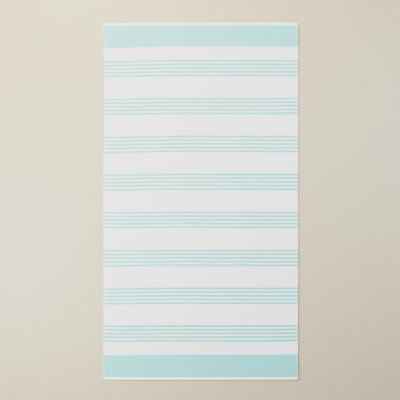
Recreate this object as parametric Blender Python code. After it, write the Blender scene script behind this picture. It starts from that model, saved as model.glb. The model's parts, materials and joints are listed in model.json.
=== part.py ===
"""Beach towel: one length of terry cloth, laid out face up on a flat surface.

X runs across the towel, Y along it and Z up, in metres. The origin lies under the middle of the
towel, on the surface that carries it.

The towel is one closed sheet. Its face and its underside are the same grid of points, which meet
in a rounded rim. A narrow woven border runs round the looped field: turned and sewn hems at the
two ends, and narrow side hems, all flatter than the field. The cloth lies flat but for low swells
near its edges, where the hems draw it.
"""

from collections import namedtuple

import bpy
import numpy as np

# Driving sizes
LENGTH = 1.774
WIDTH = 0.965
FIELD_THICKNESS = 0.0030
HEM_THICKNESS = 0.0023

# Width of the flatter border at each edge
UPPER_HEM = 0.0124
LOWER_HEM = 0.0132
LEFT_HEM = 0.0045
RIGHT_HEM = 0.0068

# How the cloth turns at its rim and its corners, and climbs from a hem to the field
RIM_DEPTH = 0.0014
RIM_LINES = (0.0, 0.2, 0.6, 1.0)  # shares of the rim's depth that have a line of the grid
CORNER_RADIUS = 0.0050
CORNER_LINES = (0.5, 1.0)  # the same for the corner's radius
HEM_STEP = 0.0022

# Most that the underside stays down while the face above it swells
SOFTNESS = 0.0005

# Most room between two lines of the grid, across and along the towel
CELL_ACROSS = 0.030
CELL_ALONG = 0.036

# Outward drift of the left and right edges from straight, at shares of the length from the lower end
SideDrift = namedtuple("SideDrift", "share left right")
SIDE_DRIFT = (
    SideDrift(0.00, 0.0009, -0.0006),
    SideDrift(0.07, 0.0011, -0.0004),
    SideDrift(0.18, 0.0003, -0.0007),
    SideDrift(0.32, 0.0000, 0.0003),
    SideDrift(0.50, 0.0002, -0.0003),
    SideDrift(0.66, 0.0000, 0.0000),
    SideDrift(0.76, -0.0008, 0.0004),
    SideDrift(0.88, -0.0006, 0.0001),
    SideDrift(0.96, 0.0003, 0.0005),
    SideDrift(1.00, 0.0008, -0.0006),
)

# Outward drift of the lower and upper edges from straight, at shares of the width from the left
EndDrift = namedtuple("EndDrift", "share lower upper")
END_DRIFT = (
    EndDrift(0.00, -0.0020, -0.0009),
    EndDrift(0.05, -0.0004, -0.0013),
    EndDrift(0.20, 0.0004, -0.0007),
    EndDrift(0.40, 0.0000, 0.0003),
    EndDrift(0.58, 0.0005, 0.0001),
    EndDrift(0.70, -0.0004, 0.0005),
    EndDrift(0.86, -0.0002, 0.0000),
    EndDrift(1.00, -0.0012, -0.0008),
)

# Low swells in the cloth. Each is a soft ridge, turned by a bearing from +X in degrees, with a
# half length, a half width and a height. Its place is a share of the width and of the length.
Swell = namedtuple("Swell", "across along bearing reach spread height")
SWELLS = (
    Swell(0.00, 0.965, 35, 0.060, 0.030, 0.0010),
    Swell(1.00, 0.955, -40, 0.075, 0.032, 0.0014),
    Swell(0.82, 0.985, 80, 0.070, 0.028, 0.0009),
    Swell(0.44, 0.975, 96, 0.080, 0.030, 0.0007),
    Swell(0.00, 0.790, 10, 0.090, 0.045, 0.0008),
    Swell(1.00, 0.700, -6, 0.100, 0.050, 0.0010),
    Swell(0.00, 0.430, -8, 0.110, 0.055, 0.0009),
    Swell(1.00, 0.350, 9, 0.090, 0.045, 0.0011),
    Swell(0.02, 0.120, 28, 0.085, 0.035, 0.0008),
    Swell(0.24, 0.010, 84, 0.080, 0.032, 0.0010),
    Swell(0.62, 0.015, 100, 0.075, 0.030, 0.0008),
    Swell(0.99, 0.040, -32, 0.080, 0.030, 0.0013),
    Swell(0.46, 0.700, 70, 0.260, 0.090, 0.0005),
    Swell(0.57, 0.270, 112, 0.240, 0.085, 0.0005),
)


def edge_stations(hem):
    """Places of the grid's lines near one edge: through the rim, the corner and the hem's step."""
    rim = RIM_DEPTH * np.array(RIM_LINES)
    corner = CORNER_RADIUS * np.array(CORNER_LINES)
    step = [hem, hem + HEM_STEP / 2, hem + HEM_STEP]
    return np.sort(np.concatenate([rim, corner, step]))


def stations(size, low_hem, high_hem, cell):
    """Places of the grid's lines from one edge to the other, evenly spaced between its two hems."""
    near = edge_stations(low_hem)
    far = size - edge_stations(high_hem)[::-1]
    count = int(np.ceil((far[0] - near[-1]) / cell))
    between = np.linspace(near[-1], far[0], count + 1)[1:-1]
    return np.concatenate([near, between, far])


def drift(shares, rows, column):
    """A table's column, read at these shares as a smooth curve through its rows."""
    at = np.array([row.share for row in rows])
    values = np.array([getattr(row, column) for row in rows])
    slopes = np.gradient(values, at)
    right = np.clip(np.searchsorted(at, shares, side="right"), 1, len(at) - 1)
    gap = at[right] - at[right - 1]
    t = (shares - at[right - 1]) / gap
    start = values[right - 1] * (1 - t) ** 2 * (1 + 2 * t) + slopes[right - 1] * gap * t * (1 - t) ** 2
    end = values[right] * t**2 * (3 - 2 * t) - slopes[right] * gap * t**2 * (1 - t)
    return start + end


def smooth_step(low, high, value):
    t = np.clip((value - low) / (high - low), 0.0, 1.0)
    return t * t * (3 - 2 * t)


def turn_corners(across, along):
    """The grid's places with each square corner drawn in to a quarter circle."""
    in_x = np.minimum(across, WIDTH - across)
    in_y = np.minimum(along, LENGTH - along)
    over_x = np.clip(1 - in_x / CORNER_RADIUS, 0.0, 1.0)
    over_y = np.clip(1 - in_y / CORNER_RADIUS, 0.0, 1.0)
    draw_x = CORNER_RADIUS * over_x * (1 - np.sqrt(1 - over_y**2 / 2))
    draw_y = CORNER_RADIUS * over_y * (1 - np.sqrt(1 - over_x**2 / 2))
    return (
        across + np.where(across < WIDTH / 2, draw_x, -draw_x),
        along + np.where(along < LENGTH / 2, draw_y, -draw_y),
    )


def plan(across, along):
    """X and Y of the grid, from places on a true rectangle to the uneven outline."""
    across, along = turn_corners(across, along)
    share_x = across / WIDTH
    share_y = along / LENGTH
    left = drift(share_y, SIDE_DRIFT, "left")
    right = drift(share_y, SIDE_DRIFT, "right")
    lower = drift(share_x, END_DRIFT, "lower")
    upper = drift(share_x, END_DRIFT, "upper")
    x = across - WIDTH / 2 - left * (1 - share_x) + right * share_x
    y = along - LENGTH / 2 - lower * (1 - share_y) + upper * share_y
    return x, y


def lift(x, y):
    """Height of the swells: the sum of soft ridges, each a bell curve along and across itself."""
    height = np.zeros_like(x)
    for swell in SWELLS:
        from_x = x - (swell.across - 0.5) * WIDTH
        from_y = y - (swell.along - 0.5) * LENGTH
        bearing = np.radians(swell.bearing)
        lengthwise = from_x * np.cos(bearing) + from_y * np.sin(bearing)
        sideways = from_y * np.cos(bearing) - from_x * np.sin(bearing)
        height += swell.height * np.exp(-((lengthwise / swell.reach) ** 2) - (sideways / swell.spread) ** 2)
    return height


def thickness(across, along):
    """Full thickness in the field, falling to the hems' thickness in the border."""
    inside = (
        smooth_step(LEFT_HEM, LEFT_HEM + HEM_STEP, across)
        * smooth_step(RIGHT_HEM, RIGHT_HEM + HEM_STEP, WIDTH - across)
        * smooth_step(LOWER_HEM, LOWER_HEM + HEM_STEP, along)
        * smooth_step(UPPER_HEM, UPPER_HEM + HEM_STEP, LENGTH - along)
    )
    return HEM_THICKNESS + (FIELD_THICKNESS - HEM_THICKNESS) * inside


def rim_share(across, along):
    """0 at the very edge, rising as a quarter ellipse to 1 at the rim's depth."""
    inward = np.minimum.reduce([across, WIDTH - across, along, LENGTH - along])
    return np.sqrt(1 - (1 - np.clip(inward / RIM_DEPTH, 0.0, 1.0)) ** 2)


def sheet_points():
    """The face and the underside, each as an array of points by row along the towel."""
    across, along = np.meshgrid(
        stations(WIDTH, LEFT_HEM, RIGHT_HEM, CELL_ACROSS),
        stations(LENGTH, LOWER_HEM, UPPER_HEM, CELL_ALONG),
    )
    x, y = plan(across, along)
    swell = lift(x, y)
    half = thickness(across, along) / 2
    rim = rim_share(across, along)
    under = np.maximum(swell - SOFTNESS, 0.0)
    middle = under + half
    face = middle + half * rim + (swell - under) * rim
    return np.stack([x, y, face], axis=-1), np.stack([x, y, middle - half * rim], axis=-1)


def towel_mesh(name):
    """One closed mesh of the two grids, which share the points of the rim."""
    face, under = sheet_points()
    rows, columns = face.shape[:2]
    face_index = np.arange(rows * columns).reshape(rows, columns)
    under_index = face_index.copy()
    interior = np.zeros((rows, columns), dtype=bool)
    interior[1:-1, 1:-1] = True
    under_index[interior] = rows * columns + np.arange(interior.sum())
    corners = [face_index[:-1, :-1], face_index[:-1, 1:], face_index[1:, 1:], face_index[1:, :-1]]
    face_quads = np.stack(corners, axis=-1).reshape(-1, 4)
    corners = [under_index[:-1, :-1], under_index[1:, :-1], under_index[1:, 1:], under_index[:-1, 1:]]
    under_quads = np.stack(corners, axis=-1).reshape(-1, 4)
    mesh = bpy.data.meshes.new(name)
    points = np.concatenate([face.reshape(-1, 3), under[interior]])
    quads = np.concatenate([face_quads, under_quads])
    mesh.from_pydata(points.tolist(), [], quads.tolist())
    mesh.shade_smooth()
    return mesh


def terry_material():
    """Soft white cotton."""
    material = bpy.data.materials.new("terry_cotton")
    material.use_nodes = True
    shader = material.node_tree.nodes["Principled BSDF"]
    shader.inputs["Base Color"].default_value = (0.80, 0.80, 0.79, 1.0)
    shader.inputs["Roughness"].default_value = 0.95
    shader.inputs["Metallic"].default_value = 0.0
    return material


def clear_scene():
    for obj in list(bpy.data.objects):
        bpy.data.objects.remove(obj, do_unlink=True)


def main():
    clear_scene()
    mesh = towel_mesh("towel_cloth")
    mesh.materials.append(terry_material())
    towel = bpy.data.objects.new("towel_cloth", mesh)
    bpy.context.scene.collection.objects.link(towel)


main()
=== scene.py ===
"""Beach towel: one length of striped terry cloth, laid out face up, with its floor, light and camera.

Metres, with X across the towel, Y along it and Z up. The origin lies under the middle of the towel.

The cloth is made the way the real one is. A flat ground cloth lies under everything and has the
underside. On it stands the pile, the face of loops, in panels that meet where the yarn changes
colour. Four hems go round it, each with a row of stitches.

A place on the cloth is given as its distance across from the left edge and along from the lower
edge, as on a true rectangle. plan() and lift() take it to its point in the uneven towel, for every
piece alike. The UV map "weave" keeps the place, measured from the middle, so that the stripes follow
the weft. The UV map "OFBake" lays each piece out flat for textures.
"""

import json
import math
from collections import namedtuple

import bpy
import numpy as np
from bpy.props import FloatProperty, FloatVectorProperty, IntProperty, PointerProperty
from mathutils import Vector
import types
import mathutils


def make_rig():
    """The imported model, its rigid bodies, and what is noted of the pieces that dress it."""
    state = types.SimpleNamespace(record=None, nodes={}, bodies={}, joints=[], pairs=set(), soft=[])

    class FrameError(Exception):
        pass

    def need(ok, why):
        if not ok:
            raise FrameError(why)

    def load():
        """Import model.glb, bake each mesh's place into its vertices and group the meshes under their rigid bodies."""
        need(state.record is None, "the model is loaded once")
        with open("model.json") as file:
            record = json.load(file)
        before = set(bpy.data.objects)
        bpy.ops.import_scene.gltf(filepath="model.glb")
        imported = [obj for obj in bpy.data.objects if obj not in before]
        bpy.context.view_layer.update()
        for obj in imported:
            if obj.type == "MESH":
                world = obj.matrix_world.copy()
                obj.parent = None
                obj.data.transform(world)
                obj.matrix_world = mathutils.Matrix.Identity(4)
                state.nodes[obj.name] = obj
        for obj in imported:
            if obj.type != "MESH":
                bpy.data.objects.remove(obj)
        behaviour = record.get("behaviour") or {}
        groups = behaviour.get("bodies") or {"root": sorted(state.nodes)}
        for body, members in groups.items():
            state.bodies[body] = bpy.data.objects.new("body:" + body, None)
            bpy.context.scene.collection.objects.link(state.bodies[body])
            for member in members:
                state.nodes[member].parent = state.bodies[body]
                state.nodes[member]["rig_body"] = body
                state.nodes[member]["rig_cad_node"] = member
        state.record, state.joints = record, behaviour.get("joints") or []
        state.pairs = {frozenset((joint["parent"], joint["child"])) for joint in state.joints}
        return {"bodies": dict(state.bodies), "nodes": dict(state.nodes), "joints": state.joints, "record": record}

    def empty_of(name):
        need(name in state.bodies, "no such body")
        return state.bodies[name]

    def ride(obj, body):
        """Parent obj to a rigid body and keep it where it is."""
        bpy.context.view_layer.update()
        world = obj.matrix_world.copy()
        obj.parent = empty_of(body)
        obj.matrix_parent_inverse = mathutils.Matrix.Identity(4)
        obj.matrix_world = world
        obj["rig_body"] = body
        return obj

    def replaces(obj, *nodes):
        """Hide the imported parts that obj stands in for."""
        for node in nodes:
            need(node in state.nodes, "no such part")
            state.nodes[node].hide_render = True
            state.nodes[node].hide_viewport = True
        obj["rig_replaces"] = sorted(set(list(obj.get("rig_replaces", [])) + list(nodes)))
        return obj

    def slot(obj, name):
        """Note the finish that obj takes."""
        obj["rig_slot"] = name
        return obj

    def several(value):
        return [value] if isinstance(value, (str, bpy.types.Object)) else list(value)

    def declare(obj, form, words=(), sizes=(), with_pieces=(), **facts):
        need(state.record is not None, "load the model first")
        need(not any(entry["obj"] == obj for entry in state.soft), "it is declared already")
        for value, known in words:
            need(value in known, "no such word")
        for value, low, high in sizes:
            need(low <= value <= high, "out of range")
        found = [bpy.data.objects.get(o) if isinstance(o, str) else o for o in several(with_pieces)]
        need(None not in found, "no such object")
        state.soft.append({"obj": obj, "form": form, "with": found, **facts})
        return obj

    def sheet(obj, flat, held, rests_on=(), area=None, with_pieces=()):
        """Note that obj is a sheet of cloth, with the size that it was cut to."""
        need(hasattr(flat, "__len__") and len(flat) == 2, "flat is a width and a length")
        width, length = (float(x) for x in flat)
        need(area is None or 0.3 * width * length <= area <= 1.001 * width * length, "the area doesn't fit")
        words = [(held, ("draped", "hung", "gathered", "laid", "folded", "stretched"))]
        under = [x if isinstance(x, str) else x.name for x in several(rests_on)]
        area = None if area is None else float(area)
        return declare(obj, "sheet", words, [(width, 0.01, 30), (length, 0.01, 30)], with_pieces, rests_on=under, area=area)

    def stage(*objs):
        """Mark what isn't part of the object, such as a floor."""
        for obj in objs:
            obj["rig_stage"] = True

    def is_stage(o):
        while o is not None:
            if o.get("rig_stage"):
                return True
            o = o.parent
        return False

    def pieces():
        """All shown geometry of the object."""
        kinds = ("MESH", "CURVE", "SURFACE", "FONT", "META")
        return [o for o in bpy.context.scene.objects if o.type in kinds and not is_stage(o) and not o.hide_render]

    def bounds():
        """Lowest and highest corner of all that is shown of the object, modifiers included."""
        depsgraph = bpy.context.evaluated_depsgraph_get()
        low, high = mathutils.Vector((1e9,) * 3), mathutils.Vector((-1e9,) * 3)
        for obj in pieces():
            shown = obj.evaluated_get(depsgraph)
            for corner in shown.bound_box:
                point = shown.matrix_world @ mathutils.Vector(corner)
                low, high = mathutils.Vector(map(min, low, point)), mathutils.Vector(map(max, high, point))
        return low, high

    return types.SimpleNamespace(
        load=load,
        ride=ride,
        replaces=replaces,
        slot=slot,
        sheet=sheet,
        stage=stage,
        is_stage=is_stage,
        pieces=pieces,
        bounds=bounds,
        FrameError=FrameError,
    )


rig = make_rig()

bl_info = {
    "name": "Striped Beach Towel",
    "version": (1, 0, 0),
    "blender": (4, 5, 0),
    "location": "3D View > Sidebar > Towel",
    "description": "Builds a striped terry beach towel that lies flat, with floor, light and camera",
    "category": "Object",
}

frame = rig.load()
CAD_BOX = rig.bounds()

# The towel's nominal length and width, and the radius that its corners turn in
LENGTH = 1.774
WIDTH = 0.965
CORNER_RADIUS = 0.0050

# Outward drift of the left and right edges from straight, at shares of the length from the lower end
SideDrift = namedtuple("SideDrift", "share left right")
SIDE_DRIFT = (
    SideDrift(0.00, 0.0009, -0.0006),
    SideDrift(0.07, 0.0011, -0.0004),
    SideDrift(0.18, 0.0003, -0.0007),
    SideDrift(0.32, 0.0000, 0.0003),
    SideDrift(0.50, 0.0002, -0.0003),
    SideDrift(0.66, 0.0000, 0.0000),
    SideDrift(0.76, -0.0008, 0.0004),
    SideDrift(0.88, -0.0006, 0.0001),
    SideDrift(0.96, 0.0003, 0.0005),
    SideDrift(1.00, 0.0008, -0.0006),
)

# Outward drift of the lower and upper edges from straight, at shares of the width from the left
EndDrift = namedtuple("EndDrift", "share lower upper")
END_DRIFT = (
    EndDrift(0.00, -0.0020, -0.0009),
    EndDrift(0.05, -0.0004, -0.0013),
    EndDrift(0.20, 0.0004, -0.0007),
    EndDrift(0.40, 0.0000, 0.0003),
    EndDrift(0.58, 0.0005, 0.0001),
    EndDrift(0.70, -0.0004, 0.0005),
    EndDrift(0.86, -0.0002, 0.0000),
    EndDrift(1.00, -0.0012, -0.0008),
)

# Low swells in the cloth. Each is a soft ridge, turned by a bearing from +X in degrees, with a
# half length, a half width and a height. Its place is a share of the width and of the length.
Swell = namedtuple("Swell", "across along bearing reach spread height")
SWELLS = (
    Swell(0.00, 0.965, 35, 0.060, 0.030, 0.0010),
    Swell(1.00, 0.955, -40, 0.075, 0.032, 0.0014),
    Swell(0.82, 0.985, 80, 0.070, 0.028, 0.0009),
    Swell(0.44, 0.975, 96, 0.080, 0.030, 0.0007),
    Swell(0.00, 0.790, 10, 0.090, 0.045, 0.0008),
    Swell(1.00, 0.700, -6, 0.100, 0.050, 0.0010),
    Swell(0.00, 0.430, -8, 0.110, 0.055, 0.0009),
    Swell(1.00, 0.350, 9, 0.090, 0.045, 0.0011),
    Swell(0.02, 0.120, 28, 0.085, 0.035, 0.0008),
    Swell(0.24, 0.010, 84, 0.080, 0.032, 0.0010),
    Swell(0.62, 0.015, 100, 0.075, 0.030, 0.0008),
    Swell(0.99, 0.040, -32, 0.080, 0.030, 0.0013),
    Swell(0.46, 0.700, 70, 0.260, 0.090, 0.0005),
    Swell(0.57, 0.270, 112, 0.240, 0.085, 0.0005),
)
SOFTNESS = 0.0005  # most that the underside stays down while the face above it swells

# Curls of the edges, as narrower swells: along the whole right and lower edges, and more at one place
CURLS = (
    Swell(1.00, 0.50, 90, 3.000, 0.008, 0.0005),
    Swell(0.50, 0.00, 0, 3.000, 0.012, 0.0006),
    Swell(1.00, 0.17, 90, 0.140, 0.012, 0.0009),
)

# Bow of the weft, as soft waves that raise or lower it. The place of each and its half width and half
# length are shares of the towel's. Near its two ends the weft straightens.
WeftWave = namedtuple("WeftWave", "across along reach spread rise")
WEFT_WAVES = (
    WeftWave(0.00, 0.95, 0.18, 0.18, -0.0060),
    WeftWave(0.00, 0.62, 0.15, 0.10, -0.0045),
    WeftWave(0.00, 0.26, 0.12, 0.08, -0.0040),
    WeftWave(0.00, 0.05, 0.15, 0.05, -0.0030),
    WeftWave(0.45, 0.40, 0.20, 0.50, 0.0012),
    WeftWave(1.00, 0.77, 0.14, 0.06, 0.0028),
    WeftWave(1.00, 0.10, 0.14, 0.06, 0.0020),
)
STRAIGHT_END = 0.07  # share of the length over which the weft straightens towards an end

# Middles of the groups of stripes and the edges of the two bands, from the towel's middle line
GROUPS = (0.6610, 0.4720, 0.2840, 0.0960, -0.0930, -0.2820, -0.4700, -0.6570)
STRIPES_IN_GROUP = 5
UPPER_BAND_EDGE = 0.7667
LOWER_BAND_EDGE = -0.7623

# How the cloth turns at a rim, and how its pieces lap: each hem reaches under the pile this far
# past its inner edge, and the ground cloth as far into the hem
RIM_DEPTH = 0.0014
RIM_LINES = (0.0, 0.2, 0.6, 1.0)  # shares of the rim's depth that have a line of the grid
LAP = 0.0016
GROUND_THICKNESS = 0.0021
GROUND_CELL = 0.018
CLEARANCE = 0.00004  # keeps undersides that lap off one level
SHARP_ANGLE = math.radians(65)  # an edge that turns further than this is shaded as a crease

# Soft random patches, with their size and the most that they add or take away
Patches = namedtuple("Patches", "size most")

# The pile's face
PILE_FOOT = 0.0018  # height of the foot of the pile, inside the ground cloth
PILE_SEED = 41
LOOP_UNEVENNESS = 0.35  # most that a loop's relief differs from the others', as a share
LOOP_WANDER = 0.16  # most that a loop strays to a side, as a share of the loops' pitch
BRUSHED = Patches(0.011, 0.22)  # as a share of the relief
CLUMPS = (Patches(0.0045, 0.00010), Patches(0.024, 0.00008))
BORDER_UNEVENNESS = 0.0003

# The hems' faces
HEM_SEED = 60
HEM_CELL_IN = 0.0009  # the longest cell of a hem's grid, in from the edge and along it
HEM_CELL_ALONG = 0.0026
HEM_CROWN = 0.00012  # rise between the folded edge and the stitches
PUCKERS = (Patches(0.0074, 0.00011), Patches(0.0031, 0.00006))
PUCKER_REACH = 0.5  # from the stitches to each side, as a share of the hem's width
ROLLS = Patches(0.034, 0.00007)
END_HEMS = ("upper", "lower")
HEMS = ("upper", "lower", "left", "right")

# The hems' stitches
STITCH_SEED = 80
STITCH_ROOM = 0.0022  # from a hem's inner edge to its stitches, or a third of a narrow hem
STITCH_GROOVE = 0.00022  # depth that the stitches pull the cloth in by
STITCH_GROOVE_WIDTH = 0.0006  # from the stitches to each side of their groove
STITCH_RISE = 0.00022  # from a stitch's ends to its middle
STITCH_DIP = 0.00008  # from the cloth's face down to a stitch's ends
STITCH_RINGS = np.array([-0.92, -0.5, 0.5, 0.92])  # their places along half a stitch
STITCH_SIDES = 6

# And as shares of the stitches' pitch
STITCH_START = 1.5  # from the end of a hem to the middle of its first stitch
STITCH_HALF = 0.42  # half the length of a stitch
STITCH_WANDER = 0.04  # most that a stitch strays along its row

# Rooms in the OFBake map, whose sides are 1: what is left round each strip and each stitch, the
# heights of a pile panel's wall and foot, and where its top starts
MAP_GAP = 0.003
STITCH_MAP_GAP = 0.08  # as a share of the stitch's own cell
PILE_MAP_SIDES = (0.01, 0.99)
WALL_MAP = (0.004, 0.014)
FOOT_MAP = (0.022, 0.054)
TOP_MAP = 0.06

# Square lamps aimed at the towel's middle, each with the brightness that it gives white there
Lamp = namedtuple("Lamp", "name place size level tint")
LAMPS = (
    Lamp("upper_left", (-0.812, 1.841, 1.400), 1.2, 0.297, (1.091, 1.0, 0.818)),
    Lamp("left", (-1.142, -0.383, 1.400), 1.2, 0.416, (0.989, 1.0, 1.022)),
    Lamp("right", (1.584, 0.437, 1.400), 1.0, 0.160, (0.880, 1.0, 1.240)),
)


def scalar(name, description, default, **more):
    """A setting that is one number."""
    return FloatProperty(name=name, description=description, default=default, **more)


def metres(name, description, default, **more):
    """A setting that is a length."""
    return scalar(name, description, default, unit="LENGTH", **more)


def share(name, description, default):
    """A setting from none to all."""
    return scalar(name, description, default, min=0.0, max=1.0, subtype="FACTOR")


def xyz(name, description, default, subtype):
    """A setting that is a place or a direction."""
    return FloatVectorProperty(name=name, description=description, default=default, subtype=subtype)


def rgb(name, description, default):
    """A setting that is a colour."""
    return FloatVectorProperty(
        name=name, description=description, default=default, subtype="COLOR", min=0.0, max=1.0
    )


class TowelCloth(bpy.types.PropertyGroup):
    """Sizes of the towel's pile, hems and stitches."""

    pile_height: metres(
        "Pile height", "Height of the looped face over the surface that the towel lies on", 0.0033, min=0.0025
    )
    loop_pitch: metres("Loop pitch", "Room from one line of the pile's grid to the next", 0.0022, min=0.0015)
    loop_relief: metres(
        "Loop relief", "Height from the hollows between the loops to their tops", 0.00075, min=0.0
    )
    upper_hem: metres("Upper hem", "Width of the upper end hem", 0.0124)
    lower_hem: metres("Lower hem", "Width of the lower end hem", 0.0132)
    left_hem: metres("Left hem", "Width of the left side hem", 0.0045)
    right_hem: metres("Right hem", "Width of the right side hem", 0.0068)
    end_hem_thickness: metres("End hem thickness", "Thickness of the end hems", 0.0028)
    side_hem_thickness: metres(
        "Side hem thickness", "Thickness of the side hems, whose ends lie in the end hems", 0.0027
    )
    stitch_pitch: metres("Stitch pitch", "Room from one hem stitch to the next", 0.0033, min=0.001)
    thread_width: metres("Thread width", "Width of the sewing thread", 0.00045)


class TowelColours(bpy.types.PropertyGroup):
    """Sizes of the stripes and the loops, and the colours of the yarns."""

    stripe_pitch: metres("Stripe pitch", "Room from one stripe of a group to the next", 0.0182)
    stripe_width: metres("Stripe width", "Width of one stripe", 0.0100)
    loop_width: metres("Loop width", "Width of one loop of yarn", 0.0013)
    white: rgb("White yarn", "Colour of the loops between the stripes", (0.868, 0.860, 0.847))
    band_aqua: rgb("Band aqua", "Colour of the loops in the two bands", (0.390, 0.658, 0.632))
    stripe_aqua: rgb("Stripe aqua", "Colour of the loops in the stripes", (0.338, 0.632, 0.608))
    hem_white: rgb("Hem white", "Colour of the hems' white yarn and their thread", (0.878, 0.868, 0.857))
    left_hem_dye: share(
        "Left hem dye", "Share of dyed yarn where a stripe or a band crosses the left hem", 0.85
    )
    right_hem_dye: share(
        "Right hem dye", "Share of dyed yarn where a stripe or a band crosses the right hem", 0.75
    )


class TowelStage(bpy.types.PropertyGroup):
    """Floor, light, tone and camera."""

    floor_colour: rgb("Floor", "Colour of the plain floor", (0.533, 0.482, 0.389))
    # Painted light: away from the towel the floor's paint turns to this paler colour, where the lamps' light falls off
    far_floor_painted_light: rgb(
        "Far floor", "Colour of the floor where the lamps don't reach", (0.920, 0.840, 0.690)
    )
    near_floor: metres(
        "Near floor", "Distance from the towel's middle where the floor starts to turn paler", 1.42
    )
    far_floor: metres("Far floor distance", "Distance from the towel's middle where the floor is palest", 3.0)
    floor_size: metres("Floor size", "Side of the floor", 150.0)
    backdrop: rgb("Backdrop", "Colour of what a low camera sees past the floor", (0.560, 0.520, 0.450))
    lamp_level: scalar("Lamp level", "Brightness of the soft lamps, as a share of their own", 1.0)
    low_side: xyz("Low light", "Direction that the low light comes from", (-2.6, 1.6, 0.85), "XYZ")
    low_spread: scalar("Low spread", "Angle over which the low light spreads", 0.4, subtype="ANGLE")
    low_level: scalar("Low level", "Brightness that the low light gives white", 0.20)
    room_level: scalar("Room level", "Brightness of the plain light from all around", 0.40)
    tone_knee: scalar("Tone knee", "Brightness above which the picture's tones bend over", 0.48)
    tone_top: scalar("Tone top", "Brightness that the bent tones run towards", 0.827)
    tone_range: scalar("Tone range", "Brightest light that the tone curve takes in", 1.8)
    tone_points: IntProperty(
        name="Tone points", description="Points of the tone curve past its knee", default=7, min=2
    )
    camera_place: xyz(
        "Camera", "Place of the camera, which looks straight down", (-0.0045, 0.0063, 4.0), "TRANSLATION"
    )
    camera_view: metres("View width", "Width of the floor that the picture takes in", 1.988)


# ---------------------------------------------------------------- the lie of the cloth


def smooth_step(t):
    """Three times the square of t less twice its cube: from 0 to 1, level at both ends."""
    return t**2 * (3 - 2 * t)


def smooth_through(places, values, wanted):
    """The cubic curve through values at rising places, read at the wanted places.

    Each stretch is a Hermite cubic, whose slopes are the central differences of the values.
    """
    slopes = np.gradient(values, places)
    right = np.clip(np.searchsorted(places, wanted, side="right"), 1, len(places) - 1)
    gap = places[right] - places[right - 1]
    t = (wanted - places[right - 1]) / gap
    rise = smooth_step(t)
    level = values[right - 1] * (1 - rise) + values[right] * rise
    return level + gap * t * (1 - t) * (slopes[right - 1] * (1 - t) - slopes[right] * t)


def read_table(rows, name, shares):
    """A column of a table, as a smooth curve, read at these shares."""
    places = np.array([row.share for row in rows])
    return smooth_through(places, np.array([getattr(row, name) for row in rows]), shares)


def weft_bow(share_x, share_y):
    """Rise of the weft over a grid: the sum of its waves, each a bell curve across and along.

    It fades to nothing at the two ends, as a smooth step.
    """
    share_y = share_y[:, None]
    bow = np.zeros((len(share_y), len(share_x)))
    for wave in WEFT_WAVES:
        off_x = (share_x - wave.across) / wave.reach
        off_y = (share_y - wave.along) / wave.spread
        bow += wave.rise * np.exp(-(off_x**2) - off_y**2)
    from_end = np.minimum(share_y, 1 - share_y)
    return bow * smooth_step(np.clip(from_end / STRAIGHT_END, 0.0, 1.0))


def turn_corners(across, along):
    """The grid's places with each square corner drawn in to a quarter circle.

    A square becomes a disc when each of a place's two numbers, from -1 to 1, is multiplied by the
    root of 1 less half the square of the other.
    """
    in_x = np.minimum(across, WIDTH - across)
    in_y = np.minimum(along, LENGTH - along)
    over_x = np.clip(1 - in_x / CORNER_RADIUS, 0.0, 1.0)
    over_y = np.clip(1 - in_y / CORNER_RADIUS, 0.0, 1.0)
    draw_x = CORNER_RADIUS * over_x * (1 - np.sqrt(1 - over_y**2 / 2))
    draw_y = CORNER_RADIUS * over_y * (1 - np.sqrt(1 - over_x**2 / 2))
    return (
        across + np.where(across < WIDTH / 2, draw_x, -draw_x),
        along + np.where(along < LENGTH / 2, draw_y, -draw_y),
    )


def plan(across, along):
    """X and Y of the grid that these lines across and along the cloth make.

    The places are a true rectangle's, centred. Each edge's drift is shared out over the cloth from
    that edge to the opposite one, and the weft's bow is added to Y.
    """
    share_x = across / WIDTH
    share_y = along / LENGTH
    bow = weft_bow(share_x, share_y)
    left = read_table(SIDE_DRIFT, "left", share_y)[:, None]
    right = read_table(SIDE_DRIFT, "right", share_y)[:, None]
    lower = read_table(END_DRIFT, "lower", share_x)
    upper = read_table(END_DRIFT, "upper", share_x)
    across, along = turn_corners(*np.meshgrid(across, along))
    share_y = share_y[:, None]
    x = across - WIDTH / 2 - left * (1 - share_x) + right * share_x
    y = along - LENGTH / 2 - lower * (1 - share_y) + upper * share_y + bow
    return x, y


def lift(x, y):
    """Height of the swells: the sum of soft ridges, each a bell curve along and across itself."""
    height = np.zeros_like(x)
    for swell in SWELLS + CURLS:
        from_x = x - (swell.across - 0.5) * WIDTH
        from_y = y - (swell.along - 0.5) * LENGTH
        bearing = math.radians(swell.bearing)
        lengthwise = from_x * math.cos(bearing) + from_y * math.sin(bearing)
        sideways = from_y * math.cos(bearing) - from_x * math.sin(bearing)
        height += swell.height * np.exp(-((lengthwise / swell.reach) ** 2) - (sideways / swell.spread) ** 2)
    return height


def patches(rng, across, along, size):
    """Soft random patches over a grid: numbers from -1 to 1, a size apart, joined by smooth steps."""
    column = across / size
    row = along / size
    x = np.floor(column).astype(int)
    y = np.floor(row).astype(int)
    t_x = smooth_step(column - x)
    t_y = smooth_step(row - y)[:, None]
    x -= x.min()
    y -= y.min()
    values = rng.uniform(-1.0, 1.0, (y.max() + 2, x.max() + 2))
    lower = values[y][:, x] * (1 - t_x) + values[y][:, x + 1] * t_x
    upper = values[y + 1][:, x] * (1 - t_x) + values[y + 1][:, x + 1] * t_x
    return lower * (1 - t_y) + upper * t_y


def unevenness(rng, across, along, *kinds):
    """The sum of these kinds of patches over a grid."""
    return sum(kind.most * patches(rng, across, along, kind.size) for kind in kinds)


def evenly(start, end, step):
    """Evenly spaced places from start to end, at most a step apart."""
    return np.linspace(start, end, int(np.ceil((end - start) / step)) + 1)


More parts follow.
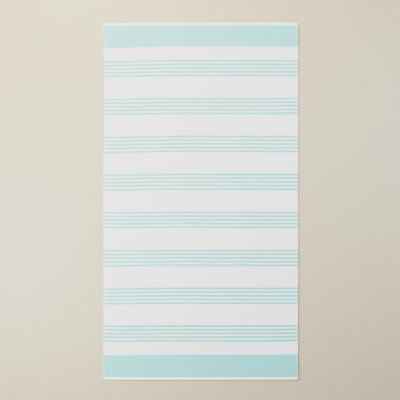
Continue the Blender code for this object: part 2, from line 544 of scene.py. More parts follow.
def rim_to_rim(low, high, cell):
    """Lines from one rim to the other: close together in the rims, and evenly spaced between."""
    rim = RIM_DEPTH * np.array(RIM_LINES)
    between = evenly(low + RIM_DEPTH, high - RIM_DEPTH, cell)
    return np.concatenate([low + rim[:-1], between, high - rim[-2::-1]])


# ---------------------------------------------------------------- meshes

# Faces with the same number of corners: the numbers of their points, and their places in OFBake
Faces = namedtuple("Faces", "corners flat")


def towel_collection():
    """The collection of the towel's pieces, made when it is first wanted."""
    collection = bpy.data.collections.get("towel")
    if collection is None:
        collection = bpy.data.collections.new("towel")
        bpy.context.scene.collection.children.link(collection)
    return collection


def add_piece(name, points, faces, weave, material):
    """A new piece of the towel, from its points, its sets of faces and its places in the weave."""
    corners = np.concatenate([each.corners.ravel() for each in faces])
    sides = np.concatenate([np.full(len(each.corners), each.corners.shape[1]) for each in faces])
    flat = np.concatenate([each.flat.reshape(-1, 2) for each in faces])
    mesh = bpy.data.meshes.new(name)
    mesh.vertices.add(len(points))
    mesh.vertices.foreach_set("co", points.astype(np.float32).ravel())
    mesh.loops.add(len(corners))
    mesh.loops.foreach_set("vertex_index", corners.astype(np.int32))
    mesh.polygons.add(len(sides))
    mesh.polygons.foreach_set("loop_start", (np.cumsum(sides) - sides).astype(np.int32))
    mesh.update(calc_edges=True)
    if mesh.validate():
        raise RuntimeError(f"{name} has faulty faces")
    for layer, places in (("weave", weave[corners]), ("OFBake", flat)):
        uv = mesh.uv_layers.new(name=layer)
        uv.data.foreach_set("uv", places.astype(np.float32).ravel())
    mesh.shade_smooth()
    mesh.set_sharp_from_angle(angle=SHARP_ANGLE)
    mesh.materials.append(material)
    piece = bpy.data.objects.new(name, mesh)
    towel_collection().objects.link(piece)
    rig.ride(piece, "root")
    return piece


def as_points(x, y, z):
    """One row for each point of a grid."""
    return np.stack([x, y, z], axis=-1).reshape(-1, 3)


def as_map(across, along):
    """The places of a grid's points on a map, from those of its lines."""
    return np.stack(np.meshgrid(across, along), axis=-1).reshape(-1, 2)


def in_weave(across, along, again):
    """The places in the weave of a grid's points, and then of some of them again."""
    places = as_map(across - WIDTH / 2, along - LENGTH / 2)
    return np.concatenate([places, places[again]])


def numbered(grid):
    """A number for each point of a grid, row by row."""
    return np.arange(grid.size).reshape(grid.shape)


def cells_of(index):
    """The corners of each cell of a grid of point numbers, anticlockwise as seen from above."""
    return np.stack([index[:-1, :-1], index[:-1, 1:], index[1:, 1:], index[1:, :-1]], axis=-1).reshape(-1, 4)


def stretched(values, low, high):
    """Values brought to run from low to high."""
    return low + (high - low) * (values - values.min()) / np.ptp(values)


def mapped(index, across, along):
    """The cells of a grid of point numbers, with the places of its lines in the OFBake map."""
    flat = as_map(across, along)
    return Faces(cells_of(index), flat[cells_of(numbered(index))])


def turned_over(faces):
    """The same faces, seen from their other side."""
    return [Faces(each.corners[:, ::-1], each.flat[:, ::-1]) for each in faces]


def in_strips(index, across, along, low, high):
    """The cells of a grid of point numbers, laid out in a box of the OFBake map from low to high.

    The grid is cut across its long side into strips, which are stacked in the box. Their number is
    the root of how many times longer than the box the grid is, so that the map has one scale in both
    directions.
    """
    wide = np.ptp(across) / (high[0] - low[0])
    tall = np.ptp(along) / (high[1] - low[1])
    if tall > wide:
        upright = in_strips(index.T, along, across, low[::-1], high[::-1])
        return turned_over([Faces(each.corners, each.flat[..., ::-1]) for each in upright])
    count = round(math.sqrt(wide / tall))
    cuts = np.searchsorted(across, np.linspace(across[0], across[-1], count + 1))
    rise = (high[1] - low[1]) / count
    strips = []
    for number, (start, end) in enumerate(zip(cuts[:-1], cuts[1:])):
        foot = low[1] + number * rise
        map_across = stretched(across[start : end + 1], low[0] + MAP_GAP, high[0] - MAP_GAP)
        map_along = stretched(along, foot + MAP_GAP, foot + rise - MAP_GAP)
        strips.append(mapped(index[:, start : end + 1], map_across, map_along))
    return strips


def flat_sheet(name, across, along, thickness, raised, relief, material):
    """A closed sheet over the rectangle that its lines span, lying under the swells.

    Its underside stays down for the first part of a swell. Its thickness is even but for its
    border, which rounds to an edge as a quarter ellipse. The relief is added to its top. In the
    OFBake map the top's strips fill the left half and the underside's the right half.
    """
    x, y = plan(across, along)
    inward_x = np.minimum(across - across[0], across[-1] - across)
    inward_y = np.minimum(along - along[0], along[-1] - along)
    inward = np.minimum(inward_x, inward_y[:, None])
    rim = np.sqrt(1 - (1 - np.clip(inward / RIM_DEPTH, 0.0, 1.0)) ** 2)
    swell = lift(x, y)
    under = np.maximum(swell - SOFTNESS, 0.0)
    middle = raised + under + thickness / 2
    top = middle + (thickness / 2 + swell - under + relief) * rim
    bottom = middle - thickness / 2 * rim

    top_index = numbered(x)
    inside = inward > 0
    bottom_index = top_index.copy()
    bottom_index[inside] = x.size + np.arange(inside.sum())
    points = np.concatenate([as_points(x, y, top), as_points(x, y, bottom)[inside.ravel()]])
    weave = in_weave(across, along, inside.ravel())
    faces = in_strips(top_index, across, along, (0.0, 0.0), (0.5, 1.0))
    faces += turned_over(in_strips(bottom_index, across, along, (0.5, 0.0), (1.0, 1.0)))
    return add_piece(name, points, faces, weave, material)


# ---------------------------------------------------------------- pile


def pile_lines(cloth, colours):
    """Lines of the pile's grid across and along the cloth, and the numbers of those where panels meet.

    Panels meet at the edges of the bands and at the upper edge of each group of stripes. Between two
    such lines the grid is even.
    """
    across = evenly(cloth.left_hem, WIDTH - cloth.right_hem, cloth.loop_pitch)
    half_group = (STRIPES_IN_GROUP - 1) / 2 * colours.stripe_pitch + colours.stripe_width / 2
    meets = [cloth.lower_hem, LENGTH / 2 + LOWER_BAND_EDGE]
    meets += [LENGTH / 2 + middle + half_group for middle in reversed(GROUPS)]
    meets += [LENGTH / 2 + UPPER_BAND_EDGE, LENGTH - cloth.upper_hem]
    stretches = [evenly(low, high, cloth.loop_pitch) for low, high in zip(meets[:-1], meets[1:])]
    along = np.concatenate([*(stretch[:-1] for stretch in stretches), meets[-1:]])
    return across, along, np.cumsum([0, *(len(stretch) - 1 for stretch in stretches)])


def pile_names():
    """Names of the pile's panels from the lower end up."""
    stripes = [f"pile_stripes_{number}" for number in range(len(GROUPS), 0, -1)]
    return ["pile_lower_band", *stripes, "pile_white_end", "pile_upper_band"]


def pile_face(cloth, across, along):
    """Points of the looped face over the whole field.

    The height is the pile's height over the swells, plus half the relief at each loop and less half
    of it at each hollow, which lie like the two colours of a chessboard. Each loop differs a little
    in height and place, and soft patches are brushed flatter. The outermost row slopes down to the
    hems.
    """
    rng = np.random.default_rng(PILE_SEED)
    x, y = plan(across, along)
    rows, columns = x.shape
    loops = np.where((np.arange(rows)[:, None] + np.arange(columns)) % 2 == 0, 0.5, -0.5)
    uneven = 1 + LOOP_UNEVENNESS * rng.uniform(-1.0, 1.0, x.shape)
    brushed = 1 - BRUSHED.most + unevenness(rng, across, along, BRUSHED)
    clumps = unevenness(rng, across, along, *CLUMPS)
    wander = LOOP_WANDER * cloth.loop_pitch
    x = x + wander * rng.uniform(-1.0, 1.0, x.shape)
    y = y + wander * rng.uniform(-1.0, 1.0, x.shape)
    top = cloth.pile_height + cloth.loop_relief * loops * uneven * brushed + clumps
    border = np.zeros(x.shape, dtype=bool)
    border[[0, -1]] = True
    border[:, [0, -1]] = True
    sunk = cloth.end_hem_thickness + BORDER_UNEVENNESS * rng.uniform(0.0, 1.0, x.shape)
    return x, y, np.where(border, sunk, top) + lift(x, y)


def pile_panel(name, x, y, top, across, along, material):
    """A closed block of pile: the grid of its top, a wall round it, and a foot of strips.

    The foot is inside the ground cloth. Its strips run from side to side, and the first and the last
    of them are fans, which also take in the wall's points at the two ends. In the OFBake map the wall
    runs along the bottom, the foot lies over it, and the top's strips fill the rest.
    """
    rows, columns = top.shape
    index = numbered(top)
    ring = np.concatenate([index[0, :-1], index[:-1, -1], index[-1, :0:-1], index[:0:-1, 0]])
    foot = rows * columns + np.arange(len(ring))
    points = as_points(x, y, top)
    foot_points = points[ring].copy()
    foot_points[:, 2] = PILE_FOOT + lift(foot_points[:, 0], foot_points[:, 1])
    wall = np.stack([np.append(foot, foot[0]), np.append(ring, ring[0])])

    turn = columns + rows - 2
    lower = foot[:columns]
    right = foot[columns - 1 : turn + 1]
    upper = foot[turn : turn + columns][::-1]
    left = np.append(foot[turn + columns - 1 :], foot[0])[::-1]
    between = np.stack([left[1:-2], left[2:-1], right[2:-1], right[1:-2]], axis=-1)
    first = np.stack([lower[:-1], np.full(columns - 1, left[1]), lower[1:]], axis=-1)
    first = np.append(first, [[left[1], right[1], right[0]]], axis=0)
    last = np.stack([upper[:-1], upper[1:], np.full(columns - 1, right[-2])], axis=-1)
    last = np.append(last, [[left[-2], left[-1], right[-2]]], axis=0)

    faces = in_strips(index, across, along, (0.0, TOP_MAP), (1.0, 1.0))
    faces.append(mapped(wall, np.linspace(*PILE_MAP_SIDES, wall.shape[1]), np.array(WALL_MAP)))
    foot_map = as_map(np.linspace(*PILE_MAP_SIDES, columns), np.linspace(*FOOT_MAP, rows))[ring]
    faces += [Faces(each, foot_map[each - foot[0]]) for each in (between, first, last)]
    points = np.concatenate([points, foot_points])
    return add_piece(name, points, faces, in_weave(across, along, ring), material)


# ---------------------------------------------------------------- hems and stitches

# A hem's lines in from its outer edge and along it, the number of its line of stitches, and the
# relief of its face, by line in from the edge
HemShape = namedtuple("HemShape", "depth run stitches relief")


def hem_shape(cloth, edge):
    """The lines and the relief of the hem on this edge.

    It swells between its folded edge and its stitches, as half a sine wave. It dips at the stitches,
    as a bell curve, and puckers at random on either side of them.
    """
    width = getattr(cloth, f"{edge}_hem")
    stitch_line = width - min(STITCH_ROOM, width / 3)
    rim = RIM_DEPTH * np.array(RIM_LINES)
    outer = np.concatenate([rim[:-1], evenly(RIM_DEPTH, stitch_line, HEM_CELL_IN)[:-1]])
    inner = evenly(stitch_line, width + LAP - RIM_DEPTH, HEM_CELL_IN)
    depth = np.concatenate([outer, inner, width + LAP - rim[-2::-1]])
    if edge in END_HEMS:
        run = rim_to_rim(0.0, WIDTH, HEM_CELL_ALONG)
    else:
        run = rim_to_rim(cloth.lower_hem, LENGTH - cloth.upper_hem, HEM_CELL_ALONG)

    rng = np.random.default_rng(HEM_SEED + HEMS.index(edge))
    one_line = np.zeros(1)
    puckers = unevenness(rng, run, one_line, *PUCKERS)
    rolls = unevenness(rng, run, one_line, ROLLS)
    away = (depth - depth[len(outer)])[:, None]
    crown = HEM_CROWN * np.sin(np.pi * np.clip(depth / stitch_line, 0.0, 1.0))[:, None]
    groove = STITCH_GROOVE * np.exp(-((away / STITCH_GROOVE_WIDTH) ** 2))
    gathered = np.exp(-((away / (PUCKER_REACH * width)) ** 2))
    return HemShape(depth, run, len(outer), crown - groove + puckers * gathered + rolls)


def hem_thickness(cloth, edge):
    """Thickness of the hem on this edge."""
    return cloth.end_hem_thickness if edge in END_HEMS else cloth.side_hem_thickness


def on_edge(edge, depth, run):
    """The lines across and along the cloth that are this deep in from an edge and this far along it."""
    if edge == "lower":
        return run, depth
    if edge == "upper":
        return run, LENGTH - depth[::-1]
    if edge == "left":
        return depth, run
    return WIDTH - depth[::-1], run


def turned(edge, values):
    """Values by depth and run, turned to lie by the lines that on_edge gives."""
    if edge == "lower":
        return values
    if edge == "upper":
        return values[::-1]
    if edge == "left":
        return values.T
    return values.T[:, ::-1]


def stitch_row(cloth, edge, material):
    """The row of stitches in the hem on this edge.

    A stitch is a tube with pointed ends: rings whose radius is that of an ellipse. Its middle arches
    over the cloth as a parabola, and its ends dip into it.
    """
    shape = hem_shape(cloth, edge)
    rng = np.random.default_rng(STITCH_SEED + HEMS.index(edge))
    pitch = cloth.stitch_pitch
    middles = np.arange(shape.run[0] + STITCH_START * pitch, shape.run[-1] - STITCH_START * pitch, pitch)
    middles += STITCH_WANDER * pitch * rng.uniform(-1.0, 1.0, len(middles))
    stations = np.array([-1.0, *STITCH_RINGS, 1.0])
    run = (middles[:, None] + STITCH_HALF * pitch * stations).ravel()
    depth = shape.depth[shape.stitches] + cloth.thread_width * np.array([-0.5, 0.5])
    x, y = plan(*on_edge(edge, depth, run))
    if edge not in END_HEMS:
        x, y = x.T, y.T
    x = x.reshape(2, len(middles), len(stations))
    y = y.reshape(2, len(middles), len(stations))

    arch = STITCH_RISE * (1 - stations**2) - STITCH_DIP
    relief = np.interp(run, shape.run, shape.relief[shape.stitches])
    z = hem_thickness(cloth, edge) + relief.reshape(x[0].shape)
    middle = np.stack([x.mean(0), y.mean(0), z + arch + lift(x.mean(0), y.mean(0))], axis=-1)
    side = np.stack([x[1] - x[0], y[1] - y[0], np.zeros_like(z)], axis=-1)
    side /= np.linalg.norm(side, axis=-1, keepdims=True)
    angle = np.arange(STITCH_SIDES) * 2 * math.pi / STITCH_SIDES
    radius = cloth.thread_width / 2 * np.sqrt(1 - STITCH_RINGS**2)
    sideways = (radius[:, None] * np.cos(angle))[..., None]
    upward = (radius[:, None] * np.sin(angle))[..., None]
    rings = middle[:, 1:-1, None] + side[:, 1:-1, None] * sideways + upward * (0.0, 0.0, 1.0)
    points = np.concatenate([middle[:, :1], rings.reshape(len(middles), -1, 3), middle[:, -1:]], axis=1)
    faces = stitch_faces(len(middles), turn_over=edge not in END_HEMS)
    return add_piece(
        f"stitching_{edge}", points.reshape(-1, 3), faces, points[..., :2].reshape(-1, 2), material
    )


def stitch_faces(count, turn_over):
    """Faces of this many stitches, each in its own cell of the OFBake map.

    A stitch's points are its first tip, its rings in order and its last tip. So it is a grid that
    runs round and along it, whose first and last rows of cells narrow to the tips.
    """
    rings = len(STITCH_RINGS)
    around = np.arange(STITCH_SIDES + 1)
    last = rings * STITCH_SIDES + 1
    index = 1 + STITCH_SIDES * np.arange(-1, rings + 1)[:, None] + around % STITCH_SIDES
    index[0] = 0
    index[-1] = last
    tube = mapped(index, around / STITCH_SIDES, np.linspace(0.0, 1.0, rings + 2))
    # The cells that are the stitch's sides and its two ends, and the corners that each keeps
    sides = (slice(STITCH_SIDES, -STITCH_SIDES), (0, 1, 2, 3))
    tip = (slice(STITCH_SIDES), (0, 2, 3))
    tail = (slice(-STITCH_SIDES, None), (2, 0, 1))

    number = np.arange(count)
    cells = int(np.ceil(np.sqrt(count)))
    cell = np.stack([number % cells, number // cells], axis=-1)[:, None, None]
    faces = []
    for rows, kept in (sides, tip, tail):
        kept = kept[::-1] if turn_over else kept
        corners = tube.corners[rows][:, kept] + (number * (last + 1))[:, None, None]
        flat = (cell + STITCH_MAP_GAP + (1 - 2 * STITCH_MAP_GAP) * tube.flat[rows][:, kept]) / cells
        faces.append(Faces(corners.reshape(-1, len(kept)), flat))
    return faces


# ---------------------------------------------------------------- materials

# A finish's pattern: its size, and how much it changes the shade
Pattern = namedtuple("Pattern", "size shade")
SMALL_LEAN_PAINTED_LIGHT = Pattern(0.009, 0.07)  # painted light and shade: lighter and darker patches, small and large, where the pile leans together
LARGE_LEAN_PAINTED_LIGHT = Pattern(0.060, 0.05)
WEAVE = Pattern(0.0009, 0.03)
SLUBS = Pattern(0.0035, 0.08)
THREAD_TWIST = Pattern(0.00035, 0.06)
FLOOR_CLOUDS = Pattern(0.45, 0.03)
FLOOR_GRAIN = Pattern(0.0025, 0.01)
LINT_SIZE = 0.0004

# The loops of yarn
LOOP_SCATTER = 0.85  # how far they stray from even rows, from 0 to 1
LOOP_TURN = 2.6  # the range of angles that they are turned over
FALL_BESIDE = 4.0  # how steeply a loop falls away beside its bar of yarn, and along it
FALL_ALONG = 1.3
FALL_MOST = 1.1  # how far down it falls
LOOP_TWIST = 0.26  # from one ridge of the yarn's twist to the next, as a share of a loop's width
FOOT_PAINTED_SHADE = 0.22  # painted shade: how much darker a loop's foot is than its top, where the loops shade one another
OWN_SHADE = 0.08  # how much lighter one loop may be than another
FOOT_RELIEF = 0.8  # what the foot, the lint and the twist give to the relief
LINT_RELIEF = 0.25
TWIST_RELIEF = 0.06


class Signal:
    """A socket's changing value. Python's operators on it add Math nodes."""

    def __init__(self, finish, socket):
        self.finish = finish
        self.socket = socket

    def math(self, operation, *values):
        """A Math node's result."""
        return self.finish.node("Math", {"operation": operation}, dict(enumerate(values)))

    def __add__(self, other):
        return self.math("ADD", self, other)

    def __radd__(self, other):
        return self.math("ADD", other, self)

    def __sub__(self, other):
        return self.math("SUBTRACT", self, other)

    def __rsub__(self, other):
        return self.math("SUBTRACT", other, self)

    def __mul__(self, other):
        return self.math("MULTIPLY", self, other)

    def __rmul__(self, other):
        return self.math("MULTIPLY", other, self)

    def __truediv__(self, other):
        return self.math("DIVIDE", self, other)

    def __lt__(self, other):
        return self.math("LESS_THAN", self, other)

    def __gt__(self, other):
        return self.math("GREATER_THAN", self, other)

    def __abs__(self):
        return self.math("ABSOLUTE", self)

    def __round__(self):
        return self.math("ROUND", self)

    def least(self, other):
        return self.math("MINIMUM", self, other)

    def most(self, other):
        return self.math("MAXIMUM", self, other)

    def sine(self):
        return self.math("SINE", self)


class Finish:
    """A new material or world, whose nodes are added by one method."""

    def __init__(self, owner, shader="Principled BSDF"):
        owner.use_nodes = True
        self.owner = owner
        self.tree = owner.node_tree
        self.shader = self.tree.nodes[shader]

    def node(self, kind, settings, sockets, output=0):
        """Adds a node of this kind, with its settings, values and links, and gives its output."""
        node = self.tree.nodes.new(f"ShaderNode{kind}")
        for name, value in settings.items():
            setattr(node, name, value)
        self.fill(node, sockets)
        return Signal(self, node.outputs[output])

    def fill(self, node, sockets):
        """Gives a node's sockets their values and links."""
        for name, value in sockets.items():
            if isinstance(value, Signal):
                self.tree.links.new(value.socket, node.inputs[name])
            else:
                node.inputs[name].default_value = value

    def mixed(self, factor, first, second, blend="MIX"):
        """Two colours, mixed or blended by this factor. Their sockets go by number, as names repeat."""
        settings = {"data_type": "RGBA", "blend_type": blend}
        return self.node("Mix", settings, {0: factor, 6: first, 7: second}, output=2)

    def shade(self, colour, amount):
        """A colour times an amount that changes over the surface."""
        return self.mixed(1.0, colour, amount, blend="MULTIPLY")

    def noise(self, place, size, detail=2.0):
        """Noise from 0 to 1 with patches of about this size."""
        return self.node("TexNoise", {}, {"Vector": place, "Scale": 1 / size, "Detail": detail})

    def axis(self, place, name):
        """One number of a place: its X, Y or Z."""
        return self.node("SeparateXYZ", {}, {0: place}, output=name)

    def weave(self):
        """The place in the weave, from the towel's middle."""
        return self.node("UVMap", {"uv_map": "weave"}, {})

    def bump(self, height, strength, distance):
        """The relief of a height that changes over the surface, and stands for this distance at 1."""
        return self.node("Bump", {}, {"Strength": strength, "Distance": distance, "Height": height})

    def done(self, sockets):
        """Gives the shader its values and links, and ends with the material or world."""
        self.fill(self.shader, sockets)
        return self.owner


def opaque(colour):
    """A colour with its alpha."""
    return (*colour, 1.0)


def striped_yarn(finish, colours, along, white):
    """The yarn's colour at this place along the towel, from its middle line.

    It is aqua beyond the inner edge of a band, and near the middle of each stripe of a group.
    """
    from_group = abs(along - GROUPS[0])
    for middle in GROUPS[1:]:
        from_group = from_group.least(abs(along - middle))
    from_stripe = abs(from_group - round(from_group / colours.stripe_pitch) * colours.stripe_pitch)
    in_group = from_group < STRIPES_IN_GROUP / 2 * colours.stripe_pitch
    in_stripe = (from_stripe < colours.stripe_width / 2) * in_group
    in_band = (along > UPPER_BAND_EDGE).most(along < LOWER_BAND_EDGE)
    striped = finish.mixed(in_stripe, opaque(white), opaque(colours.stripe_aqua))
    return finish.mixed(in_band, striped, opaque(colours.band_aqua))


# The loops of yarn, as seen from above: the middle of the loop that a place is in, a number from 0 to 1
# of the loop's own, and how near the place is to the loop's foot and to a ridge of the yarn's twist
Loops = namedtuple("Loops", "middle own foot twist")


def yarn_loops(finish, place, width):
    """Loops of this width, each in one cell of a Voronoi pattern.

    A loop is a short bar of yarn, turned at random to one side of the warp or the other. It falls
    away on all sides as a paraboloid over an ellipse. The twist is a sine wave at a slant to the bar.
    """
    settings = {"voronoi_dimensions": "2D", "feature": "F1"}
    sockets = {"Vector": place, "Scale": 1 / width, "Randomness": LOOP_SCATTER}
    middle = finish.node("TexVoronoi", settings, sockets, output="Position")
    chance = Signal(finish, middle.socket.node.outputs["Color"])
    own = finish.node("SeparateColor", {}, {0: chance}, output="Red")
    turn = (finish.node("SeparateColor", {}, {0: chance}, output="Green") - 0.5) * LOOP_TURN
    out = finish.node("VectorMath", {"operation": "SUBTRACT"}, {0: place, 1: middle})
    out = finish.node("VectorRotate", {"rotation_type": "Z_AXIS"}, {"Vector": out, "Angle": turn})
    beside = finish.axis(out, "X") / width
    lengthwise = finish.axis(out, "Y") / width
    foot = (beside * beside * FALL_BESIDE + lengthwise * lengthwise * FALL_ALONG).least(FALL_MOST)
    twist = ((beside + lengthwise) * (2 * math.pi / LOOP_TWIST)).sine()
    return Loops(middle, own, foot, twist)


def striped_terry(colours):
    """Looped cotton, dyed in stripes.

    Each loop takes its colour from where its middle is. Towards its foot it is darker, as painted
    shade between the loops, and it differs a little from its neighbours. Soft patches where the pile
    leans are painted lighter and darker, as painted light and shade.
    """
    finish = Finish(bpy.data.materials.new("striped_terry"))
    place = finish.weave()
    loops = yarn_loops(finish, place, colours.loop_width)
    yarn = striped_yarn(finish, colours, finish.axis(loops.middle, "Y"), colours.white)
    small_lean_painted_light = finish.noise(place, SMALL_LEAN_PAINTED_LIGHT.size) * SMALL_LEAN_PAINTED_LIGHT.shade
    large_lean_painted_light = finish.noise(place, LARGE_LEAN_PAINTED_LIGHT.size) * LARGE_LEAN_PAINTED_LIGHT.shade
    # Painted shade darkens each loop towards its foot, and painted light and shade lie in the leaning patches
    shade = 1.00 - loops.foot * FOOT_PAINTED_SHADE + loops.own * OWN_SHADE + (small_lean_painted_light + large_lean_painted_light)
    lint = finish.noise(place, LINT_SIZE)
    relief = lint * LINT_RELIEF + loops.twist * TWIST_RELIEF - loops.foot * FOOT_RELIEF
    return finish.done(
        {
            "Base Color": finish.shade(yarn, shade),
            "Roughness": 0.86 + lint * 0.12,
            "Specular IOR Level": 0.15,
            "Sheen Weight": 0.12,
            "Sheen Roughness": 0.55,
            "Normal": finish.bump(relief, strength=0.8, distance=0.00045),
        }
    )


def woven_hem(name, colours, dye):
    """Plain woven cotton: threads over and under, as the product of two sine waves, and faint slubs.

    The weft's stripes run on into a side hem, with this share of dyed yarn. An end hem has none.
    """
    finish = Finish(bpy.data.materials.new(name))
    place = finish.weave()
    across = finish.axis(place, "X")
    along = finish.axis(place, "Y")
    yarn = opaque(colours.hem_white)
    if dye:
        yarn = finish.mixed(dye, yarn, striped_yarn(finish, colours, along, colours.hem_white))
    turns = 2 * math.pi / WEAVE.size
    weave = (across * turns).sine() * (along * turns).sine()
    slubs = finish.noise(place, SLUBS.size, detail=4.0)
    return finish.done(
        {
            "Base Color": finish.shade(yarn, 0.94 + weave * WEAVE.shade + slubs * SLUBS.shade),
            "Roughness": 0.80 + slubs * 0.12,
            "Specular IOR Level": 0.2,
            "Sheen Weight": 0.06,
            "Sheen Roughness": 0.5,
            "Normal": finish.bump(weave + slubs, strength=0.5, distance=0.00012),
        }
    )


def sewing_thread(colours):
    """Twisted thread: bands at a slant, as a sine wave of the two directions' sum."""
    finish = Finish(bpy.data.materials.new("sewing_thread"))
    place = finish.weave()
    slant = finish.axis(place, "X") + finish.axis(place, "Y")
    twist = (slant * (2 * math.pi / THREAD_TWIST.size)).sine()
    return finish.done(
        {
            "Base Color": finish.shade(opaque(colours.hem_white), 0.93 + twist * THREAD_TWIST.shade),
            "Roughness": 0.62 + twist * 0.05,
            "Specular IOR Level": 0.3,
            "Normal": finish.bump(twist, strength=0.5, distance=0.00006),
        }
    )


def plain_floor(stage):
    """Matt painted floor, with faint clouds in its colour and a fine grain.

    It is painted paler away from the towel, as a smooth step of the distance: painted light that
    keeps it light where the lamps don't reach.
    """
    finish = Finish(bpy.data.materials.new("plain_floor"))
    place = finish.node("TexCoord", {}, {}, output="Object")
    distance = finish.node("VectorMath", {"operation": "LENGTH"}, {0: place}, output="Value")
    reach = {"Value": distance, "From Min": stage.near_floor, "From Max": stage.far_floor}
    # Painted light: the share of the paler paint, rising with the distance as the lamps' light falls off
    far = finish.node("MapRange", {"interpolation_type": "SMOOTHSTEP"}, reach)
    paint = finish.mixed(far, opaque(stage.floor_colour), opaque(stage.far_floor_painted_light))
    clouds = finish.noise(place, FLOOR_CLOUDS.size, detail=3.0)
    grain = finish.noise(place, FLOOR_GRAIN.size)
    shade = 0.98 + clouds * FLOOR_CLOUDS.shade + grain * FLOOR_GRAIN.shade
    return finish.done(
        {
            "Base Color": finish.shade(paint, shade),
            "Roughness": 0.84 + clouds * 0.08,
            "Specular IOR Level": 0.2,
            "Normal": finish.bump(grain, strength=0.2, distance=0.0002),
        }
    )


def finish_named(name, maker, *choices):
    """The material of this name, made by its maker the first time that it is wanted."""
    return bpy.data.materials.get(name) or maker(*choices)


# ---------------------------------------------------------------- stage

TONE_CROWDING = 1.5  # above 1, the tone curve's points lie closer together near its knee
COMBINED_CURVE = 3  # after the curves of red, green and blue
FLOOR_LINES = 7


def hang(lamp, place):
    """Hangs a lamp at a place and aims it at the towel's middle. No camera sees the lamp itself."""
    light = bpy.data.objects.new(lamp.name, lamp)
    light.location = place
    light.rotation_euler = place.to_track_quat("Z", "Y").to_euler()
    light.visible_camera = False
    bpy.context.scene.collection.objects.link(light)


def soft_lamp(name, place, size, level, tint):
    """A square lamp, which gives white at the towel's middle this level of brightness.

    From a small lamp, a white surface's brightness is the power over pi squared and the distance
    squared, times the cosine of the angle at which the light meets it. From a wide one it is less,
    by about a third of the square of the lamp's width over its distance.
    """
    place = Vector(place)
    width_share = size / place.length
    lamp = bpy.data.lights.new(name, "AREA")
    lamp.shape = "SQUARE"
    lamp.size = size
    lamp.color = tint
    lamp.energy = level * (math.pi * place.length) ** 2 * place.length / place.z * (1 + width_share**2 / 3)
    hang(lamp, place)


def low_light(side, spread, level):
    """Light from far away on one side, which gives white everywhere this level of brightness.

    A white surface's brightness is the light's strength over pi, times the cosine as above.
    """
    side = Vector(side)
    lamp = bpy.data.lights.new("low", "SUN")
    lamp.angle = spread
    lamp.energy = level * math.pi * side.length / side.z
    hang(lamp, side)


def room_light(level, backdrop):
    """White light of this level from all around. A camera sees the backdrop's colour in its place."""
    room = Finish(bpy.data.worlds.new("room"), "Background")
    seen = room.node("LightPath", {}, {}, output="Is Camera Ray")
    light = room.mixed(seen, opaque((level,) * 3), opaque(backdrop))
    bpy.context.scene.world = room.done({"Color": light, "Strength": 1.0})


def bend_tones(stage):
    """Bends bright tones over, as a camera does.

    A tone below the knee stays as it is. Above it, the tone nears the top by the same share of what
    is left for each step in brightness, and starts at a slope of 1.
    """
    view = bpy.context.scene.view_settings
    view.view_transform = "Standard"
    view.use_curve_mapping = True
    mapping = view.curve_mapping
    mapping.white_level = (stage.tone_range,) * 3
    headroom = stage.tone_top - stage.tone_knee
    steps = np.linspace(0.0, 1.0, stage.tone_points + 1) ** TONE_CROWDING
    past_knee = steps * (stage.tone_range - stage.tone_knee)
    bent = stage.tone_knee + headroom * (1 - np.exp(-past_knee / headroom))
    light = (stage.tone_knee + past_knee) / stage.tone_range
    points = mapping.curves[COMBINED_CURVE].points
    points[0].location = (0.0, 0.0)
    points[1].location = (light[-1], bent[-1])
    points.new(light[0] / 2, stage.tone_knee / 2)
    for place, tone in zip(light[:-1], bent[:-1]):
        points.new(place, tone)
    mapping.update()


def overhead_camera(stage):
    """A camera that looks straight down, with its lens set to take in the wanted width of floor."""
    lens = bpy.data.cameras.new("camera")
    lens.lens = lens.sensor_width * stage.camera_place[2] / stage.camera_view
    camera = bpy.data.objects.new("camera", lens)
    camera.location = stage.camera_place
    bpy.context.scene.collection.objects.link(camera)
    bpy.context.scene.camera = camera


def floor(stage):
    """A square grid for the floor, with its top just under the towel."""
    lines = np.linspace(-0.5, 0.5, FLOOR_LINES) * stage.floor_size
    x, y = np.meshgrid(lines, lines)
    mesh = bpy.data.meshes.new("floor")
    points = as_points(x, y, np.full(x.shape, -CLEARANCE))
    mesh.from_pydata(points.tolist(), [], cells_of(numbered(x)).tolist())
    mesh.materials.append(finish_named("plain_floor", plain_floor, stage))
    plane = bpy.data.objects.new("floor", mesh)
    bpy.context.scene.collection.objects.link(plane)
    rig.stage(plane)


# ---------------------------------------------------------------- operators and panel


def stand_for_cloth(piece):
    """Shows a piece in place of the CAD cloth, with that cloth's finish."""
    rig.replaces(piece, "towel_cloth")
    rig.slot(piece, "terry_cotton")


class TOWEL_OT_pile(bpy.types.Operator):
    """Build the looped face of the towel, in panels from the lower band to the upper one"""

    bl_idname = "towel.pile"
    bl_label = "Pile"

    def execute(self, context):
        cloth = context.scene.towel_cloth
        colours = context.scene.towel_colours
        material = finish_named("striped_terry", striped_terry, colours)
        across, along, meets = pile_lines(cloth, colours)
        x, y, top = pile_face(cloth, across, along)
        for name, low, high in zip(pile_names(), meets[:-1], meets[1:]):
            rows = slice(low, high + 1)
            panel = pile_panel(name, x[rows], y[rows], top[rows], across, along[rows], material)
            stand_for_cloth(panel)
        return {"FINISHED"}


class TOWEL_OT_hems(bpy.types.Operator):
    """Build the turned hems at the two ends and the narrow hems at the two sides"""

    bl_idname = "towel.hems"
    bl_label = "Hems"

    def execute(self, context):
        cloth = context.scene.towel_cloth
        colours = context.scene.towel_colours
        dyes = {"left": colours.left_hem_dye, "right": colours.right_hem_dye}
        for edge in HEMS:
            kind, raised = ("end", 0.0) if edge in END_HEMS else ("side", CLEARANCE / 2)
            shape = hem_shape(cloth, edge)
            across, along = on_edge(edge, shape.depth, shape.run)
            thickness = hem_thickness(cloth, edge)
            relief = turned(edge, shape.relief)
            material = woven_hem(f"woven_{edge}_hem", colours, dyes.get(edge))
            hem = flat_sheet(f"{edge}_{kind}_hem", across, along, thickness, raised, relief, material)
            stand_for_cloth(hem)
        return {"FINISHED"}


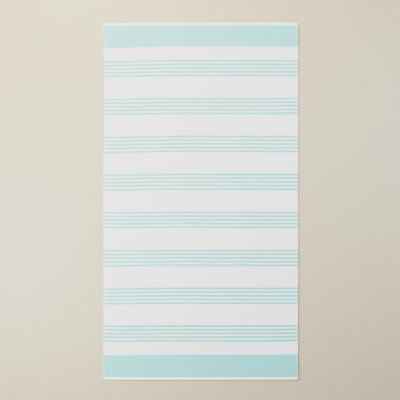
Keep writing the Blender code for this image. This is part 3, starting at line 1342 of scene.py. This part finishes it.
class TOWEL_OT_stitching(bpy.types.Operator):
    """Sew a row of stitches into each hem"""

    bl_idname = "towel.stitching"
    bl_label = "Stitching"

    def execute(self, context):
        material = finish_named("sewing_thread", sewing_thread, context.scene.towel_colours)
        for edge in HEMS:
            stitch_row(context.scene.towel_cloth, edge, material)
        return {"FINISHED"}


class TOWEL_OT_ground_cloth(bpy.types.Operator):
    bl_idname = "towel.ground_cloth"
    bl_label = "Ground cloth"

    def execute(self, context):
        cloth = context.scene.towel_cloth
        material = finish_named("striped_terry", striped_terry, context.scene.towel_colours)
        across = rim_to_rim(cloth.left_hem - LAP, WIDTH - cloth.right_hem + LAP, GROUND_CELL)
        along = rim_to_rim(cloth.lower_hem - LAP, LENGTH - cloth.upper_hem + LAP, GROUND_CELL)
        others = list(towel_collection().objects)
        ground = flat_sheet("ground_cloth", across, along, GROUND_THICKNESS, CLEARANCE, 0.0, material)
        stand_for_cloth(ground)
        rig.sheet(ground, flat=(WIDTH, LENGTH), held="laid", rests_on=(), with_pieces=others)
        return {"FINISHED"}


class TOWEL_OT_stage(bpy.types.Operator):
    """Lay the floor, hang the lights, set the tones and place the camera"""

    bl_idname = "towel.stage"
    bl_label = "Stage"

    def execute(self, context):
        stage = context.scene.towel_stage
        floor(stage)
        for lamp in LAMPS:
            soft_lamp(lamp.name, lamp.place, lamp.size, lamp.level * stage.lamp_level, lamp.tint)
        low_light(stage.low_side, stage.low_spread, stage.low_level)
        room_light(stage.room_level, stage.backdrop)
        bend_tones(stage)
        overhead_camera(stage)
        return {"FINISHED"}


OPERATORS = (TOWEL_OT_pile, TOWEL_OT_hems, TOWEL_OT_stitching, TOWEL_OT_ground_cloth, TOWEL_OT_stage)
SETTINGS = {"towel_cloth": TowelCloth, "towel_colours": TowelColours, "towel_stage": TowelStage}


class TOWEL_PT_panel(bpy.types.Panel):
    """The towel's settings and the buttons that build its pieces"""

    bl_idname = "TOWEL_PT_panel"
    bl_label = "Striped Beach Towel"
    bl_space_type = "VIEW_3D"
    bl_region_type = "UI"
    bl_category = "Towel"

    def draw(self, context):
        for operator in OPERATORS:
            self.layout.operator(operator.bl_idname)
        for name, group in SETTINGS.items():
            box = self.layout.box()
            for setting in group.__annotations__:
                box.prop(getattr(context.scene, name), setting)


def register():
    """Adds the classes, and the settings to the scene."""
    for each in (*SETTINGS.values(), *OPERATORS, TOWEL_PT_panel):
        bpy.utils.register_class(each)
    for name, group in SETTINGS.items():
        setattr(bpy.types.Scene, name, PointerProperty(type=group))


def unregister():
    """Takes out what register() added."""
    for name in SETTINGS:
        delattr(bpy.types.Scene, name)
    for each in (TOWEL_PT_panel, *reversed(OPERATORS), *SETTINGS.values()):
        bpy.utils.unregister_class(each)


def main():
    """Builds the towel and its stage, and notes the boxes of the CAD model and of this one."""
    register()
    bpy.ops.towel.pile()
    bpy.ops.towel.hems()
    bpy.ops.towel.stitching()
    bpy.ops.towel.ground_cloth()
    bpy.ops.towel.stage()
    boxes = {"cad": CAD_BOX, "visual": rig.bounds()}
    with open("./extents.json", "w") as out:
        json.dump({name: [list(corner) for corner in box] for name, box in boxes.items()}, out)


if __name__ == "__main__":
    main()
